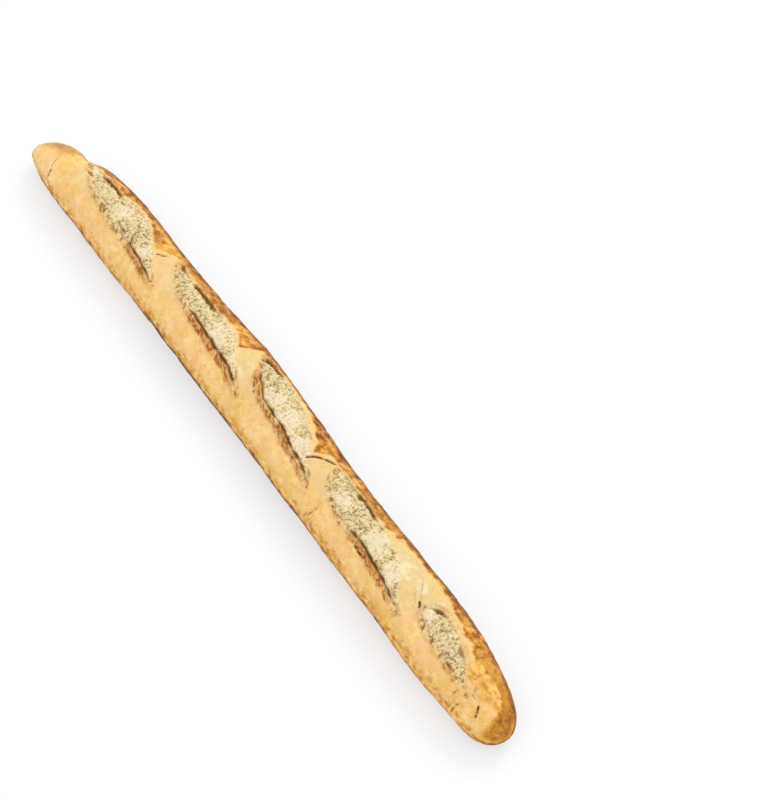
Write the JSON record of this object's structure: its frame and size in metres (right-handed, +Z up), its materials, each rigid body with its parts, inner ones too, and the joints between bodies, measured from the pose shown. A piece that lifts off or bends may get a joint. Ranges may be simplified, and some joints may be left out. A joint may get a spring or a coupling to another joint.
{
  "type": "baguette",
  "caption": "Long thin hearth-baked bread loaf with a flat underside, rounded ends and slanting slashes along its crest that burst open in baking.",
  "frame": {"origin": "middle of the flat underside", "axes": "+X along the loaf, towards the end with the short slash; +Y towards its back, the side with the swellings; +Z up"},
  "size_m": [0.65, 0.063, 0.0475],
  "materials": {
    "crust": "golden-brown baked crust, dull, paler and floury where the slashes opened"
  },
  "bodies": {
    "root": {"baguette": "crust"}
  },
  "joints": []
}
